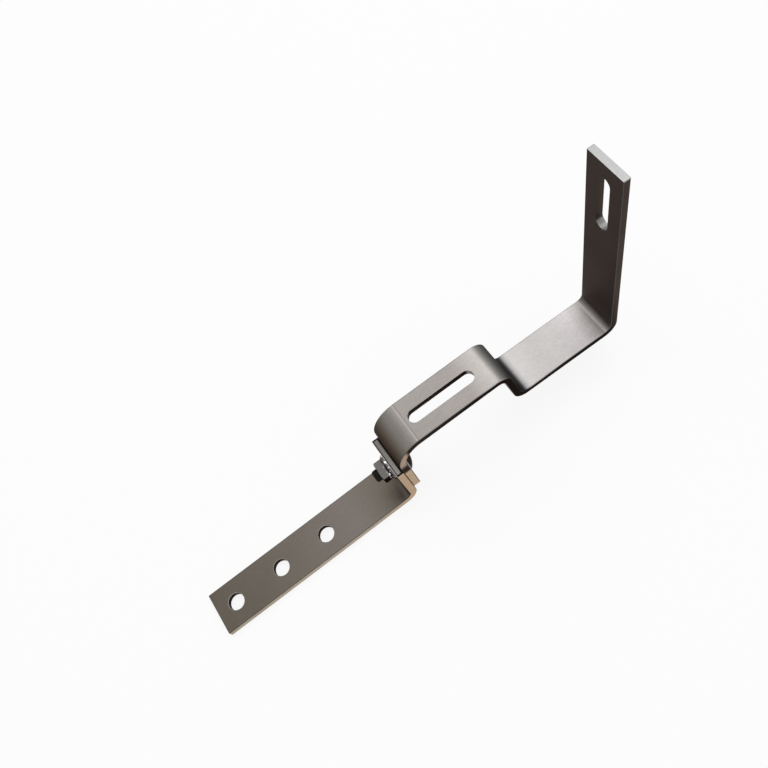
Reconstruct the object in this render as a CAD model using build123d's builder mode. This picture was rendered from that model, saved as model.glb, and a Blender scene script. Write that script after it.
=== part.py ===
from build123d import *
import os
from math import cos, radians, sin, sqrt

# Adjustable roof hook that carries a solar rail over a tiled roof.
# Millimetres, +Z up. X runs along the hook, from the free end of the base
# towards the upright, and Y runs across it. The origin is on the underside of
# the base, under the middle one of its screw holes.

# ---------------------------------------------------------------------------
# Flat bar that both folded pieces are cut from
# ---------------------------------------------------------------------------
bar_width = 30.0
bar_thickness = 5.0
bar_edge_radius = 0.7
rim_chamfer = 0.3

# ---------------------------------------------------------------------------
# Base: three screw holes in a row, and a flange folded up at one end
# ---------------------------------------------------------------------------
screw_count = 3
screw_pitch = 36.0
screw_hole_diameter = 11.0
free_end_margin = 14.0
flange_margin = 60.0
flange_height = 45.0
base_bend_radius = 4.5

# ---------------------------------------------------------------------------
# Clamp joint between the flange and the leg of the hook arm
# ---------------------------------------------------------------------------
bolt_diameter = 8.0
bolt_height = 31.0
bolt_length = 22.0
slot_clearance = 0.5
height_travel_down = 12.0
height_travel_up = 4.0
square_neck_width = 8.4
square_neck_length = 3.6
square_neck_clearance = 0.1
bolt_head_diameter = 19.0
bolt_head_height = 4.8
bolt_head_rim = 0.8
bolt_tip_chamfer = 0.9
nut_across_flats = 13.0
nut_height = 8.0
nut_flange_diameter = 17.9
nut_flange_rim = 1.2
nut_collar_height = 3.0
nut_thread_clearance = 0.02
nut_corner_chamfer = 0.9

# ---------------------------------------------------------------------------
# Hook arm: leg, upper arm, step down, lower arm and upright, from one bar.
# Each length runs between the sharp corners that the bends round off.
# ---------------------------------------------------------------------------
leg_end_height = 16.0
leg_corner_height = 71.0
upper_arm_length = 86.0
step_length = 36.5
lower_arm_length = 71.5
upright_length = 151.0
upper_arm_fall = 1.6
step_lean = 6.9
lower_arm_fall = 3.3
upright_lean = 6.9
leg_bend_radius = 18.5
step_top_radius = 10.0
step_foot_radius = 5.0
upright_bend_radius = 5.0

# Slot in the upper arm, measured from the leg corner along the arm
arm_slot_width = 9.0
arm_slot_length = 48.5
arm_slot_distance = 45.7

# Slot in the upright for the rail bolt, measured down from its top end
rail_slot_width = 10.0
rail_slot_length = 45.0
rail_slot_below_top = 33.5

# ---------------------------------------------------------------------------
# Places that follow from those sizes
# ---------------------------------------------------------------------------
screw_row_half = screw_pitch * (screw_count - 1) / 2
free_end_x = -screw_row_half - free_end_margin
flange_face_x = screw_row_half + flange_margin
leg_face_x = flange_face_x + bar_thickness
leg_back_x = leg_face_x + bar_thickness

clamp_slot_width = bolt_diameter + 2 * slot_clearance
clamp_slot_length = height_travel_down + height_travel_up + clamp_slot_width
clamp_slot_height = bolt_height + (height_travel_up - height_travel_down) / 2
square_hole = square_neck_width + 2 * square_neck_clearance
nut_across_corners = nut_across_flats * 2 / sqrt(3)


def heading(turn_down):
    """Direction in the XZ plane that falls turn_down degrees below +X."""
    angle = radians(turn_down)
    return Vector(cos(angle), 0, -sin(angle))


upper_direction = heading(upper_arm_fall)
step_direction = heading(90 - step_lean)
lower_direction = heading(lower_arm_fall)
upright_direction = heading(upright_lean - 90)

leg_end = Vector(leg_face_x, 0, leg_end_height)
leg_corner = Vector(leg_face_x, 0, leg_corner_height)
step_top = leg_corner + upper_direction * upper_arm_length
step_foot = step_top + step_direction * step_length
upright_foot = step_foot + lower_direction * lower_arm_length
upright_top = upright_foot + upright_direction * upright_length

arm_slot_centre = leg_corner + upper_direction * arm_slot_distance
rail_slot_centre = upright_top - upright_direction * rail_slot_below_top

# Planes that lie in the surface each hole is cut from, local X along the bar
upper_arm_plane = Plane(
    origin=arm_slot_centre,
    x_dir=upper_direction,
    z_dir=heading(upper_arm_fall - 90),
)
upright_plane = Plane(
    origin=rail_slot_centre,
    x_dir=upright_direction,
    z_dir=heading(upright_lean),
)
flange_plane = Plane(
    origin=(flange_face_x, 0, clamp_slot_height),
    x_dir=(0, 0, 1),
    z_dir=(1, 0, 0),
)
leg_plane = Plane(
    origin=(leg_face_x, 0, bolt_height),
    x_dir=(0, 0, 1),
    z_dir=(1, 0, 0),
)

# ---------------------------------------------------------------------------
# Base plate
# ---------------------------------------------------------------------------
with BuildPart() as base_plate:
    with BuildSketch(Plane.XZ):
        with BuildLine():
            FilletPolyline(
                (free_end_x, bar_thickness),
                (flange_face_x, bar_thickness),
                (flange_face_x, flange_height),
                radius=base_bend_radius,
            )
            offset(amount=bar_thickness, side=Side.RIGHT)
        make_face()
    extrude(amount=bar_width / 2, both=True)
    bar_sides = base_plate.faces().filter_by(Axis.Y)
    fillet(bar_sides.edges(), radius=bar_edge_radius)

    with BuildSketch(Plane.XY):
        with GridLocations(screw_pitch, 0, screw_count, 1):
            Circle(screw_hole_diameter / 2)
    extrude(amount=bar_thickness, mode=Mode.SUBTRACT)
    screw_rims = (
        base_plate.edges()
        .filter_by(GeomType.CIRCLE)
        .filter_by(lambda rim: abs(rim.radius - screw_hole_diameter / 2) < 0.001)
    )
    chamfer(screw_rims, length=rim_chamfer)

    with BuildSketch(flange_plane):
        SlotOverall(clamp_slot_length, clamp_slot_width)
    extrude(amount=bar_thickness, mode=Mode.SUBTRACT)

# ---------------------------------------------------------------------------
# Hook arm
# ---------------------------------------------------------------------------
with BuildPart() as hook_arm:
    with BuildSketch(Plane.XZ):
        with BuildLine():
            FilletPolyline(
                (leg_end.X, leg_end.Z),
                (leg_corner.X, leg_corner.Z),
                (step_top.X, step_top.Z),
                (step_foot.X, step_foot.Z),
                (upright_foot.X, upright_foot.Z),
                (upright_top.X, upright_top.Z),
                radius=[
                    leg_bend_radius,
                    step_top_radius,
                    step_foot_radius,
                    upright_bend_radius,
                ],
            )
            offset(amount=bar_thickness, side=Side.RIGHT)
        make_face()
    extrude(amount=bar_width / 2, both=True)
    bar_sides = hook_arm.faces().filter_by(Axis.Y)
    fillet(bar_sides.edges(), radius=bar_edge_radius)

    with BuildSketch(upper_arm_plane):
        SlotOverall(arm_slot_length, arm_slot_width)
    extrude(amount=-bar_thickness, mode=Mode.SUBTRACT)

    with BuildSketch(upright_plane):
        SlotOverall(rail_slot_length, rail_slot_width)
    extrude(amount=bar_thickness, mode=Mode.SUBTRACT)

    with BuildSketch(leg_plane):
        Rectangle(square_hole, square_hole)
    extrude(amount=bar_thickness, mode=Mode.SUBTRACT)

# ---------------------------------------------------------------------------
# Carriage bolt: domed head behind the leg, square neck in the leg, and a
# shank that passes through the slot of the flange
# ---------------------------------------------------------------------------
head_plane = Plane(origin=(leg_back_x, 0, bolt_height), x_dir=(0, 1, 0), z_dir=(1, 0, 0))
dome_height = bolt_head_height - bolt_head_rim
head_radius = bolt_head_diameter / 2
dome_radius = (head_radius**2 + dome_height**2) / (2 * dome_height)

with BuildPart() as carriage_bolt:
    with BuildSketch(Plane(origin=head_plane.origin, x_dir=(0, 1, 0), z_dir=(0, 0, -1))):
        with BuildLine():
            Line((0, 0), (head_radius, 0))
            Line((head_radius, 0), (head_radius, bolt_head_rim))
            RadiusArc((head_radius, bolt_head_rim), (0, bolt_head_height), -dome_radius)
            Line((0, bolt_head_height), (0, 0))
        make_face()
    revolve(axis=Axis(head_plane.origin, (1, 0, 0)))

    with BuildSketch(head_plane):
        Rectangle(square_neck_width, square_neck_width)
    extrude(amount=-square_neck_length)

    with BuildSketch(head_plane):
        Circle(bolt_diameter / 2)
    extrude(amount=-bolt_length)
    bolt_tip = carriage_bolt.faces().sort_by(Axis.X)[0]
    chamfer(bolt_tip.edges(), length=bolt_tip_chamfer)

# ---------------------------------------------------------------------------
# Flange nut on the other side of the flange: a hexagon with bevelled corners
# that stands on a sloping round collar
# ---------------------------------------------------------------------------
nut_plane = Plane(origin=(flange_face_x, 0, bolt_height), x_dir=(0, 0, 1), z_dir=(-1, 0, 0))
nut_profile_plane = Plane(origin=nut_plane.origin, x_dir=(0, 0, 1), z_dir=(0, -1, 0))
nut_axis = Axis(nut_plane.origin, (-1, 0, 0))
nut_bore_radius = bolt_diameter / 2 + nut_thread_clearance
nut_corner = nut_across_corners / 2
nut_collar_radius = nut_flange_diameter / 2

with BuildPart() as flange_nut:
    with BuildSketch(nut_plane):
        RegularPolygon(radius=nut_corner, side_count=6)
    extrude(amount=nut_height)
    with BuildSketch(nut_profile_plane):
        with BuildLine():
            Polyline(
                (0, 0),
                (nut_corner, 0),
                (nut_corner, nut_height - nut_corner_chamfer / 2),
                (nut_across_flats / 2 - nut_corner_chamfer / 4, nut_height),
                (0, nut_height),
                close=True,
            )
        make_face()
    revolve(axis=nut_axis, mode=Mode.INTERSECT)
    with BuildSketch(nut_profile_plane):
        with BuildLine():
            Polyline(
                (0, 0),
                (nut_collar_radius, 0),
                (nut_collar_radius, nut_flange_rim),
                (nut_across_flats / 2, nut_collar_height),
                (0, nut_collar_height),
                close=True,
            )
        make_face()
    revolve(axis=nut_axis)
    with BuildSketch(nut_plane):
        Circle(nut_bore_radius)
    extrude(amount=nut_height, mode=Mode.SUBTRACT)

# ---------------------------------------------------------------------------
# One STEP file for each piece
# ---------------------------------------------------------------------------
os.makedirs("parts", exist_ok=True)

base_plate.part.label = "base_plate"
hook_arm.part.label = "hook_arm"
carriage_bolt.part.label = "carriage_bolt"
flange_nut.part.label = "flange_nut"

for piece in (base_plate, hook_arm, carriage_bolt, flange_nut):
    export_step(piece.part, f"parts/{piece.part.label}.step")
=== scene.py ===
# %% [markdown]
# # Adjustable roof hook for a solar rail
# The hook is two pieces of folded flat bar, clamped together by a carriage bolt
# and a flange nut. Their solids come from the CAD model, and this script only
# gives them their finish, a floor, soft light and a camera.

# %% Load the model
import math

import bpy
from mathutils import Euler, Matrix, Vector


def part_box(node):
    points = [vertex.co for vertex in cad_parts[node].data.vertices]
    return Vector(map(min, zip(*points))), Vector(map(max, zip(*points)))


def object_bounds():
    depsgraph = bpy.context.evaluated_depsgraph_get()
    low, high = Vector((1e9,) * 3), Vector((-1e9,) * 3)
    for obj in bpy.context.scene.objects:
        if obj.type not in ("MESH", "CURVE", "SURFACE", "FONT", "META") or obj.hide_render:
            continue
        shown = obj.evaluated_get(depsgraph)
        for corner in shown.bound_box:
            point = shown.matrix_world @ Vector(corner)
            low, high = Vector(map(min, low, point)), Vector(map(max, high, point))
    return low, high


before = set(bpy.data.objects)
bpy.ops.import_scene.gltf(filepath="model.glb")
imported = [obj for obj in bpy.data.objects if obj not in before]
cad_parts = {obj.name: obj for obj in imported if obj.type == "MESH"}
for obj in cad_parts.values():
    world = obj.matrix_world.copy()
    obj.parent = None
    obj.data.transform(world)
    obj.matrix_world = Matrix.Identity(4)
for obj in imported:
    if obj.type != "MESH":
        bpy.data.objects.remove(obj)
cad_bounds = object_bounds()
print("CAD box, metres:", cad_bounds)

# %% [markdown]
# ## Sizes that the finishes need
# A finish that changes along the bar has to know where the bends are. The boxes
# of the two pieces give their ends. A box doesn't show a bend, so the three
# bends of the arm that a finish needs are given as reaches from its leg.

# %% Places along the hook
MM = 0.001
BAR_THICKNESS = 5 * MM
LEG_BEND_REACH = 18.2 * MM
STEP_REACH = 86 * MM
UPRIGHT_REACH = 161 * MM

base_low, base_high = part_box("base_plate")
arm_low, arm_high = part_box("hook_arm")
flange_x = base_high.x
nut_side_x = flange_x - BAR_THICKNESS
flange_top = base_high.z
leg_bend_end_x = arm_low.x + LEG_BEND_REACH
step_x = arm_low.x + STEP_REACH
upright_x = arm_low.x + UPRIGHT_REACH
print("leg bend ends at", round(leg_bend_end_x, 4), "and the step is at", round(step_x, 4))

# %% [markdown]
# ## Shader maths as plain expressions
# A node tree is hard to read when every sum is a node made by hand. This class
# wraps one socket, so that `1 - mask * 0.5` adds the Math nodes by itself.
# `step` and `between` make the soft masks that say where a finish changes.


# %% A number that changes over a surface
class Value:
    """The output of a node, with arithmetic that adds Math nodes."""

    def __init__(self, wiring, socket):
        self.wiring = wiring
        self.socket = socket

    def math(self, operation, first, second=0.0):
        node = self.wiring.node("ShaderNodeMath", {"operation": operation}, {0: first, 1: second})
        return Value(self.wiring, node.outputs[0])

    def __add__(self, other):
        return self.math("ADD", self, other)

    def __radd__(self, other):
        return self.math("ADD", other, self)

    def __sub__(self, other):
        return self.math("SUBTRACT", self, other)

    def __rsub__(self, other):
        return self.math("SUBTRACT", other, self)

    def __mul__(self, other):
        return self.math("MULTIPLY", self, other)

    def __rmul__(self, other):
        return self.math("MULTIPLY", other, self)

    def __abs__(self):
        return self.math("ABSOLUTE", self)

    def sine(self):
        return self.math("SINE", self)

    def step(self, start, end):
        """0 below start, 1 above end, with a smooth rise between them."""
        settings = {"interpolation_type": "SMOOTHSTEP", "clamp": True}
        sockets = {"Value": self, "From Min": start, "From Max": end}
        node = self.wiring.node("ShaderNodeMapRange", settings, sockets)
        return Value(self.wiring, node.outputs["Result"])

    def between(self, start, end, soft_start, soft_end=None):
        """1 from start to end and 0 outside, with soft ends that lie inside."""
        if soft_end is None:
            soft_end = soft_start
        return self.step(start, start + soft_start) * (1 - self.step(end - soft_end, end))


# %% [markdown]
# ## One helper for every other node
# `node` takes a node's type, its settings, and the values or links of its
# sockets, and that is all a script needs to build any tree. It serves the
# materials, the floor and the sky alike.


# %% A node tree built by short calls
class Wiring:
    """A node tree that starts empty and is filled by short calls."""

    def __init__(self, tree):
        self.tree = tree
        tree.nodes.clear()

    def node(self, kind, settings=None, sockets=None):
        node = self.tree.nodes.new(kind)
        for name, setting in (settings or {}).items():
            if name == "stops":
                self.set_stops(node.color_ramp, setting)
            else:
                setattr(node, name, setting)
        for name, source in (sockets or {}).items():
            if isinstance(source, Value):
                source = source.socket
            if isinstance(source, bpy.types.NodeSocket):
                self.tree.links.new(source, node.inputs[name])
            else:
                node.inputs[name].default_value = source
        return node

    def set_stops(self, ramp, stops):
        while len(ramp.elements) < len(stops):
            ramp.elements.new(1.0)
        for element, (position, color) in zip(ramp.elements, stops):
            element.position = position
            element.color = (*color, 1)


# %% [markdown]
# ## A finish under construction
# A finish is the material of one piece. It has at hand where a point of the
# piece lies and which way its surface faces, so one material can dress the
# faces, the sides and the edges of a bar. A material per face would need the
# mesh to be cut up, and the mesh stays as the CAD model made it.

# %% A finish
EDGE_TINT = (0.50, 0.44, 0.42, 1)
METAL_SPECULAR = 0.2
BUMP_DEPTH = 0.2 * MM
# A Mix node keeps its colour sockets after those for numbers and vectors
MIX_MASK, MIX_UNDER, MIX_OVER, MIX_RESULT = 0, 6, 7, 2


class Finish(Wiring):
    """The material of one piece, with its place and its facing at hand."""

    def __init__(self, name):
        self.material = bpy.data.materials.new(name)
        self.material.use_nodes = True
        super().__init__(self.material.node_tree)
        place = self.node("ShaderNodeTexCoord")
        self.point = place.outputs["Object"]
        self.x, self.y, self.z = self.parts(self.point)
        self.facing_x, self.facing_y, self.facing_z = self.parts(place.outputs["Normal"])

    def parts(self, vector):
        split = self.node("ShaderNodeSeparateXYZ", None, {0: vector})
        return tuple(Value(self, socket) for socket in split.outputs)

    def noise(self, scale, detail=3.0, stretch=(1, 1, 1)):
        spread = self.node("ShaderNodeMapping", None, {"Vector": self.point, "Scale": stretch})
        sockets = {"Vector": spread.outputs[0], "Scale": scale, "Detail": detail}
        texture = self.node("ShaderNodeTexNoise", None, sockets)
        return Value(self, texture.outputs["Fac"])

    def mix(self, mask, under, over, blend="MIX"):
        """Lays one colour over another where the mask is 1."""
        settings = {"data_type": "RGBA", "blend_type": blend}
        sockets = {MIX_MASK: mask, MIX_UNDER: under, MIX_OVER: over}
        return self.node("ShaderNodeMix", settings, sockets).outputs[MIX_RESULT]

    def shades(self, place, low, high, stops):
        """A colour that runs along a place, with stops given in metres."""
        span = high - low
        along = (place - low) * (1 / span)
        scaled = [((position - low) / span, color) for position, color in stops]
        ramp = self.node("ShaderNodeValToRGB", {"stops": scaled}, {"Fac": along})
        return ramp.outputs["Color"]

    def steel(self, color, roughness, height, metallic=0.9, bump_strength=0.25):
        """Ends the tree with satin metal, and gives back the material."""
        depth = {"Height": height, "Strength": bump_strength, "Distance": BUMP_DEPTH}
        bump = self.node("ShaderNodeBump", None, depth)
        sockets = {
            "Base Color": color,
            "Roughness": roughness,
            "Metallic": metallic,
            "Specular IOR Level": METAL_SPECULAR,
            "Specular Tint": EDGE_TINT,
            "Normal": bump.outputs["Normal"],
        }
        shader = self.node("ShaderNodeBsdfPrincipled", None, sockets)
        self.node("ShaderNodeOutputMaterial", None, {"Surface": shader.outputs[0]})
        return self.material


# %% [markdown]
# ## Satin grain, shared by both folded pieces
# Flat stainless bar comes from the mill with a fine grain and a faint
# cloudiness. A stretched noise gives the grain, a slow one the clouds and a
# fine one the specks. Image textures could do it too, but noise needs no
# unwrapping.

# %% Grain, clouds and specks
CLOUD_SHARE = 1.6
SPECK_SHARE = 1.2


def bar_steel(finish, color, unevenness, roughness):
    """Ends the finish of a folded bar, with its grain in the colour and the bumps."""
    grain = finish.noise(900, detail=4.0, stretch=(0.25, 1.6, 0.25))
    clouds = finish.noise(55)
    specks = finish.noise(850)
    change = (grain - 0.5) * unevenness + (clouds - 0.5) * (unevenness * CLOUD_SHARE) + 1
    change = change + (specks - 0.5) * (unevenness * SPECK_SHARE)
    wash = finish.node("ShaderNodeCombineColor", None, {0: change, 1: change, 2: change})
    color = finish.mix(1.0, color, wash.outputs[0], blend="MULTIPLY")
    return finish.steel(color, roughness + clouds * 0.08, grain * 0.6 + specks * 0.4)


# %% [markdown]
# ## Base plate, its faces
# The base has a darker, warmer skin than the arm, and its cut sides are tan.
# The way a face looks tells a side from the top, so that it gets its own colour
# with no second material. The rounded edges between them get a painted shade.


# %% Base plate, top and sides
def base_top(finish):
    stops = [
        (base_low.x, (0.118, 0.103, 0.084)),
        (base_low.x + 60 * MM, (0.142, 0.124, 0.105)),
        (flange_x - 45 * MM, (0.166, 0.143, 0.130)),
        (flange_x - 14 * MM, (0.137, 0.121, 0.098)),
        (nut_side_x, (0.120, 0.100, 0.085)),
    ]
    return finish.shades(finish.x, base_low.x, base_high.x, stops)


def base_side(finish):
    stops = [
        (base_low.x, (0.46, 0.40, 0.31)),
        (flange_x - 30 * MM, (0.54, 0.46, 0.37)),
        (flange_x, (0.62, 0.46, 0.31)),
    ]
    return finish.shades(finish.x, base_low.x, base_high.x, stops)


def base_faces(finish):
    """The top, the rounded edges beside it in painted shade, and the tan sides."""
    sideways = abs(finish.facing_y)
    # The rounded edges between the top and the sides get a painted shade.
    painted_edge_shade = (0.04, 0.035, 0.03, 1)
    color = finish.mix(sideways.step(0.30, 0.45), base_top(finish), painted_edge_shade)
    return finish.mix(sideways.step(0.62, 0.85), color, base_side(finish))


# %% [markdown]
# ## Base plate, its screw holes
# The walls of the screw holes get little light. A black disc under each hole
# would do, but it would show from below, so the walls themselves are darkened.
# The upper edge of each hole is broken, and the small slope around it catches
# the light. That slope is in the mesh, so a mask on how far the surface has
# turned from level finds it, and no ring has to be laid on the hole.


# %% Base plate, screw holes
def among_holes(finish):
    return finish.x.between(base_low.x + 2 * MM, flange_x - 20 * MM, 2 * MM)


def with_dark_holes(finish, color):
    wall = 1 - abs(finish.facing_z).step(0.2, 0.6)
    near_middle = 1 - abs(finish.y).step(8 * MM, 10 * MM)
    return finish.mix(wall * near_middle * among_holes(finish), color, (0.02, 0.018, 0.016, 1))


def with_bright_rims(finish, color):
    slope = finish.facing_z.between(0.50, 0.90, 0.12)
    near_middle = 1 - abs(finish.y).step(7 * MM, 8 * MM)
    return finish.mix(slope * near_middle * among_holes(finish), color, (0.42, 0.40, 0.38, 1))


# %% [markdown]
# ## Base plate, the top of its flange
# The top end of the flange is a lighter face inside a nearly black outline,
# which is a painted shade. The face darkens towards +y, also a painted shade,
# and its edge on the side of the nut has a thin painted highlight. All three are
# told by their distance from the box of the base, since a line this thin isn't
# worth a face in the mesh.

# %% Base plate, top of the flange
BLACK = (0.008, 0.007, 0.007, 1)


def with_flange_top(finish, color):
    stops = [
        (base_low.y, (0.27, 0.25, 0.232)),
        (base_low.y + 9 * MM, (0.23, 0.216, 0.198)),
        (base_high.y, (0.165, 0.155, 0.140)),
    ]
    # The end face is lighter, with a painted shade that darkens it towards +y.
    shaded_end_face = finish.shades(finish.y, base_low.y, base_high.y, stops)
    inside = finish.x.between(nut_side_x + 0.8 * MM, flange_x - 1.0 * MM, 0.6 * MM, 0.7 * MM)
    inside = inside * (1 - abs(finish.y).step(base_high.y - 1.6 * MM, base_high.y - 0.9 * MM))
    end_face = finish.z.step(flange_top - 0.6 * MM, flange_top - 0.2 * MM)
    end_face = end_face * finish.facing_z.step(0.3, 0.6)
    # Round that face the outline is BLACK, a painted shade.
    color = finish.mix(end_face, color, finish.mix(inside, BLACK, shaded_end_face))
    # A thin painted highlight on the flange's edge on the side of the nut.
    edge_highlight = finish.z.step(flange_top - 1.2 * MM, flange_top - 0.9 * MM)
    edge_highlight = edge_highlight * (1 - finish.x.step(nut_side_x + 0.3 * MM, nut_side_x + 0.5 * MM))
    return finish.mix(edge_highlight, color, (0.42, 0.38, 0.38, 1))


# %% [markdown]
# ## Base plate, dressed
# The parts of the finish lie over one another like coats of paint: the faces
# first, then the dark holes and the top of the flange, and the bright rims last.

# %% Base plate finish
BASE_UNEVENNESS = 0.16
BASE_ROUGHNESS = 0.46


def dress(node_name, material):
    """Puts one material on every slot of a CAD piece."""
    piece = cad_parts[node_name]
    piece.data.materials.clear()
    piece.data.materials.append(material)
    print("finish", material.name, "is on", node_name)


def base_finish():
    finish = Finish("base_steel")
    color = with_flange_top(finish, with_dark_holes(finish, base_faces(finish)))
    color = with_bright_rims(finish, color)
    return bar_steel(finish, color, BASE_UNEVENNESS, BASE_ROUGHNESS)


dress("base_plate", base_finish())

# %% [markdown]
# ## Hook arm, its painted shade and highlights along the bar
# The arm is brighter than the base. Its colour darkens where a bend turns away
# and on the face of the upright, a painted shade for the dark things that satin
# metal mirrors there. The lighter bands before the step, after it and before
# the upright are painted highlights. Black cards in the studio could give the
# same shade, but they would have to move with every pose, and this colour rides
# on the arm. The price is that the upright is darker than bare steel when it is
# seen from its other sides.


# %% Arm, colour along the bar
def arm_along(finish):
    # Painted shade at the leg, the step and the upright, with painted highlights at the lighter
    # stops between them.
    stops = [
        (arm_low.x + 0.2 * MM, (0.034, 0.025, 0.018)),
        (arm_low.x + 4 * MM, (0.098, 0.078, 0.060)),
        (arm_low.x + 10 * MM, (0.225, 0.212, 0.188)),
        (leg_bend_end_x, (0.255, 0.237, 0.222)),
        (step_x - 25 * MM, (0.270, 0.248, 0.236)),
        (step_x - 8 * MM, (0.41, 0.39, 0.37)),
        (step_x - 1 * MM, (0.085, 0.087, 0.085)),
        (step_x + 3 * MM, (0.026, 0.028, 0.032)),
        (step_x + 7 * MM, (0.048, 0.048, 0.050)),
        (step_x + 9.5 * MM, (0.34, 0.33, 0.325)),
        (step_x + 12 * MM, (0.455, 0.442, 0.435)),
        (step_x + 30 * MM, (0.410, 0.395, 0.388)),
        (step_x + 48 * MM, (0.455, 0.435, 0.430)),
        (upright_x - 16 * MM, (0.520, 0.495, 0.490)),
        (upright_x - 8 * MM, (0.430, 0.408, 0.402)),
        (upright_x - 3 * MM, (0.30, 0.28, 0.275)),
        (upright_x + 0.5 * MM, (0.12, 0.105, 0.10)),
        (upright_x + 2.5 * MM, (0.062, 0.051, 0.048)),
        (upright_x + 9 * MM, (0.052, 0.043, 0.040)),
    ]
    return finish.shades(finish.x, arm_low.x, arm_high.x, stops)


# %% [markdown]
# ## Hook arm, its sides and edges
# The sheared sides are nearly black, a painted shade, but tan on the leg, like
# those of the base beside it. The rounded edges have painted highlights on both
# bends of the step, painted shade between them and a dimmer painted shade
# elsewhere.


# %% Arm, sides and rounded edges
def arm_side(finish):
    # The nearly black sides are a painted shade.
    stops = [
        (arm_low.x, (0.030, 0.026, 0.022)),
        (step_x - 20 * MM, (0.006, 0.005, 0.005)),
        (upright_x, (0.006, 0.004, 0.005)),
        (upright_x + 7 * MM, (0.068, 0.056, 0.049)),
    ]
    side = finish.shades(finish.x, arm_low.x, arm_high.x, stops)
    on_leg = 1 - finish.x.step(arm_low.x + 7 * MM, arm_low.x + 10 * MM)
    leg_foot = 1 - finish.z.step(flange_top - 4 * MM, flange_top - 1 * MM)
    below_bend = finish.z.between(flange_top + 4 * MM, flange_top + 26 * MM, 6 * MM, 7 * MM)
    side = finish.mix(leg_foot * on_leg, side, (0.62, 0.47, 0.33, 1))
    return finish.mix(below_bend * on_leg, side, (0.46, 0.35, 0.27, 1))


def arm_edge(finish):
    # Painted shade on the rounded edges, with painted highlights by both bends of the step.
    dim_edge_shade = (0.10, 0.095, 0.095)
    lit = (0.50, 0.47, 0.49)
    shaded = (0.05, 0.05, 0.052)
    stops = [
        (step_x - 24 * MM, dim_edge_shade),
        (step_x - 12 * MM, lit),
        (step_x - 5 * MM, lit),
        (step_x - 1 * MM, shaded),
        (step_x + 8 * MM, shaded),
        (step_x + 12 * MM, (0.66, 0.64, 0.64)),
        (step_x + 20 * MM, (0.50, 0.48, 0.48)),
        (step_x + 34 * MM, dim_edge_shade),
    ]
    return finish.shades(finish.x, arm_low.x, arm_high.x, stops)


# %% [markdown]
# ## Hook arm, the painted marks of the press brake
# The tool that folds the bar leaves a fine mark where the bend of the leg ends:
# a bright line that is a painted highlight, with a painted shade beside it. A
# groove in the mesh could make them, but they are too shallow to have a shape
# of their own.


# %% Arm, marks of the press brake
def brake_line(finish, place, width):
    """A fine mark across the bar, 1 on the line and 0 beside it."""
    return 1 - abs(finish.x - place).step(width * 0.4, width)


def with_brake_mark_light_and_shade(finish, color):
    mark_highlight = brake_line(finish, leg_bend_end_x, 0.7 * MM)
    shadow_mark = brake_line(finish, leg_bend_end_x + 1.1 * MM, 0.6 * MM)
    # A painted highlight on the brake mark, and a painted shade beside it.
    color = finish.mix(mark_highlight * 0.25, color, (0.52, 0.48, 0.47, 1))
    return finish.mix(shadow_mark * 0.45, color, (0.16, 0.15, 0.14, 1))


# %% [markdown]
# ## Hook arm, dressed
# The colour along the bar, with its painted shade and highlights, comes first.
# Over it lie the back of the upright and the undersides, which see the floor, in
# a plain grey, then the edges and sides with their painted highlights and shade,
# and last what is bright: the foot of the slot in the upright, and its top end.

# %% Hook arm finish
ARM_UNEVENNESS = 0.22
ARM_ROUGHNESS = 0.44


def with_back_and_underside(finish, color):
    back = finish.facing_x.step(0.5, 0.8) * finish.x.step(upright_x, upright_x + 4 * MM)
    color = finish.mix(back, color, (0.30, 0.28, 0.265, 1))
    under = (0 - finish.facing_z).step(0.4, 0.8)
    return finish.mix(under, color, (0.27, 0.255, 0.24, 1))


def with_bright_ends(finish, color):
    slot_foot = finish.z.step(arm_high.z - 75 * MM, arm_high.z - 70 * MM)
    slot_foot = slot_foot * finish.facing_z.step(0.3, 0.7)
    color = finish.mix(slot_foot, color, (0.36, 0.355, 0.35, 1))
    top_end = finish.z.step(arm_high.z - 4 * MM, arm_high.z - 2 * MM)
    top_end = top_end * finish.facing_z.step(0.6, 0.9)
    return finish.mix(top_end, color, (0.45, 0.455, 0.45, 1))


def arm_finish():
    finish = Finish("arm_steel")
    color = with_brake_mark_light_and_shade(finish, arm_along(finish))
    color = with_back_and_underside(finish, color)
    sideways = abs(finish.facing_y)
    # Painted highlights and shade on the rounded edges, then painted shade on the sides.
    color = finish.mix(sideways.step(0.35, 0.60), color, arm_edge(finish))
    color = finish.mix(sideways.step(0.80, 0.97), color, arm_side(finish))
    color = with_bright_ends(finish, color)
    return bar_steel(finish, color, ARM_UNEVENNESS, ARM_ROUGHNESS)


dress("hook_arm", arm_finish())

# %% [markdown]
# ## Bolt
# The bolt is glossier and darker than the bar, with a painted highlight round
# the rim of its head. Its thread is a wave of bumps along its length, because
# turns cut into the solid would cost thousands of faces for something this small.

# %% Bolt finish
THREAD_PITCH = 1.25 * MM


def bolt_finish():
    finish = Finish("bolt_steel")
    specks = finish.noise(1500, detail=2.0)
    thread = (finish.x * (math.tau / THREAD_PITCH)).sine()
    shank = 1 - finish.x.step(arm_low.x - 2 * MM, arm_low.x - 1 * MM)
    dark = finish.mix(shank, (0.022, 0.020, 0.020, 1), (0.030, 0.027, 0.026, 1))
    # A painted highlight round the rim of the head.
    head_rim_highlight = (1 - abs(finish.facing_x).step(0.1, 0.3)) * (1 - shank)
    color = finish.mix(head_rim_highlight, dark, (0.36, 0.36, 0.36, 1))
    bumps = thread * shank * 3 + specks * 0.3
    return finish.steel(color, 0.28 + specks * 0.1, bumps, bump_strength=0.6)


dress("carriage_bolt", bolt_finish())

# %% [markdown]
# ## Nut
# Polished flats are dark or light by turns, by what they face. Here those that
# look up are grey and the rest nearly black. The serrations at the flange give
# small hard glints, which a coarse noise cut off sharply can stand for.


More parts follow.
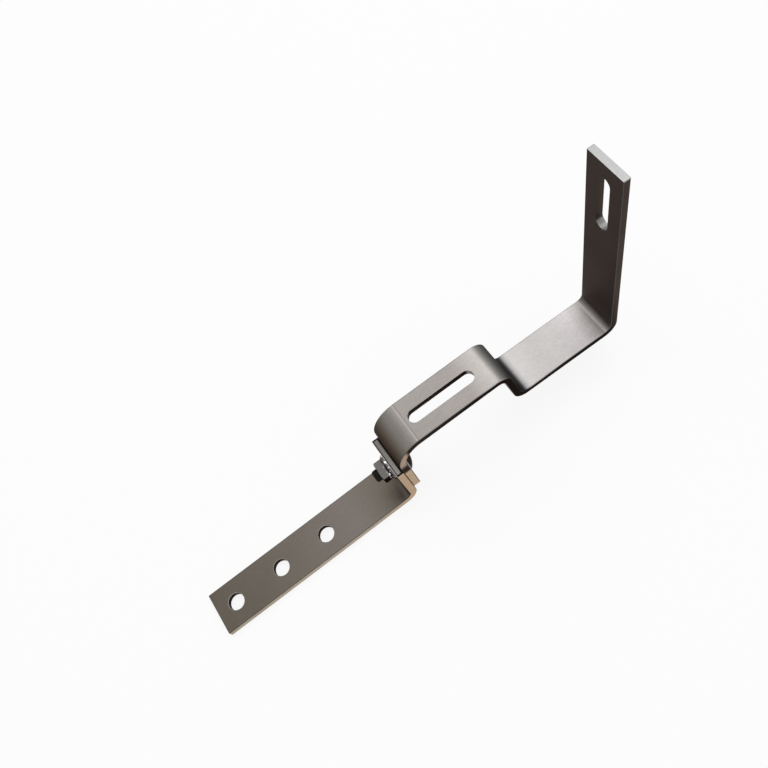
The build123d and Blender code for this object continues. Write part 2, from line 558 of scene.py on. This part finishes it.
# %% Nut finish
def nut_finish():
    finish = Finish("nut_steel")
    specks = finish.noise(1200)
    upward = finish.facing_z.step(0.2, 0.6)
    color = finish.mix(upward, BLACK, (0.205, 0.196, 0.190, 1))
    outward = (0 - finish.facing_x).step(0.6, 0.95)
    color = finish.mix(outward, color, (0.035, 0.032, 0.031, 1))
    by_the_flange = finish.x.step(nut_side_x - 4 * MM, nut_side_x - 3 * MM)
    glints = finish.noise(380, detail=1.0).step(0.55, 0.60)
    color = finish.mix(glints * by_the_flange, color, (0.90, 0.86, 0.87, 1))
    return finish.steel(color, 0.22 + specks * 0.16, specks, metallic=0.95, bump_strength=0.35)


dress("flange_nut", nut_finish())

# %% [markdown]
# ## Floor
# A pale plane under the hook takes its shadow. To the camera and in the
# reflections it is mostly a plain white, and the rest is real light, so the
# shadow stays.

# %% Floor
FLOOR_SIZE = 8
FLOOR_GLOW = 0.86
FLOOR_GAP = 0.2 * MM
WHITE = (1, 1, 1, 1)
hook_middle = Vector((0.1, 0, 0))


def floor_material():
    material = bpy.data.materials.new("floor_paint")
    material.use_nodes = True
    paint = Wiring(material.node_tree)
    rays = paint.node("ShaderNodeLightPath")
    seen = Value(paint, rays.outputs["Is Camera Ray"]) + Value(paint, rays.outputs["Is Glossy Ray"])
    seen = seen + Value(paint, rays.outputs["Is Transmission Ray"])
    matt = paint.node("ShaderNodeBsdfDiffuse", None, {"Color": (0.82, 0.82, 0.82, 1)})
    glow = paint.node("ShaderNodeEmission", None, {"Color": WHITE, "Strength": 1.0})
    sockets = {0: seen * FLOOR_GLOW, 1: matt.outputs[0], 2: glow.outputs[0]}
    both = paint.node("ShaderNodeMixShader", None, sockets)
    paint.node("ShaderNodeOutputMaterial", None, {"Surface": both.outputs[0]})
    return material


floor_z = cad_bounds[0][2] - FLOOR_GAP
bpy.ops.mesh.primitive_plane_add(size=FLOOR_SIZE, location=(hook_middle.x, hook_middle.y, floor_z))
floor = bpy.context.object
floor.name = "floor"
floor.data.materials.append(floor_material())
print("floor at z", floor.location.z)

# %% [markdown]
# ## Sky
# Satin metal shows its surroundings, so the room matters more than the lamps.
# An even pale world gives every face its own colour. The camera sees the world
# as white as the floor, so no horizon shows behind the hook.

# %% Sky
ROOM_LIGHT = 0.80
BACKDROP_WHITE = 0.965


def backdrop(sky, strength):
    return sky.node("ShaderNodeBackground", None, {"Color": WHITE, "Strength": strength})


world = bpy.data.worlds.new("studio")
world.use_nodes = True
sky = Wiring(world.node_tree)
sockets = {
    0: sky.node("ShaderNodeLightPath").outputs["Is Camera Ray"],
    1: backdrop(sky, ROOM_LIGHT).outputs[0],
    2: backdrop(sky, BACKDROP_WHITE).outputs[0],
}
chosen = sky.node("ShaderNodeMixShader", None, sockets)
sky.node("ShaderNodeOutputWorld", None, {"Surface": chosen.outputs[0]})
bpy.context.scene.world = world
print("sky of", ROOM_LIGHT, "and of", BACKDROP_WHITE, "to the camera")

# %% [markdown]
# ## Softbox
# One wide softbox overhead adds a gentle highlight and the shadow. A sun lamp
# would be simpler, but it has no wide bright face for the metal to mirror.

# %% Softbox
softbox_data = bpy.data.lights.new("softbox", "AREA")
softbox_data.shape = "RECTANGLE"
softbox_data.size = 1.6
softbox_data.size_y = 1.0
softbox_data.energy = 9
softbox = bpy.data.objects.new("softbox", softbox_data)
softbox.location = (0.5, 0.5, 1.5)
toward_the_hook = hook_middle - softbox.location
softbox.rotation_euler = toward_the_hook.to_track_quat("-Z", "Y").to_euler()
bpy.context.scene.collection.objects.link(softbox)
print("softbox at", tuple(softbox.location))

# %% [markdown]
# ## Camera
# The camera looks down on the hook from its near side, close enough for the
# upright to grow towards the lens. The lens is shifted a little, so that the
# hook sits where it should in the frame without turning the camera.

# %% Camera
tilt, roll, turn = math.radians(26.795), math.radians(13.743), math.radians(-34.351)

camera_data = bpy.data.cameras.new("camera")
camera_data.sensor_width = 36
camera_data.lens = 45.06
camera_data.shift_x = -0.0255
camera_data.shift_y = -0.0875
camera = bpy.data.objects.new("camera", camera_data)
camera.location = (0.11092, -0.24140, 0.60111)
camera.rotation_euler = Euler((tilt, roll, turn))
bpy.context.scene.collection.objects.link(camera)
bpy.context.scene.camera = camera
bpy.context.scene.view_settings.view_transform = "Standard"
print("camera at", tuple(camera.location))
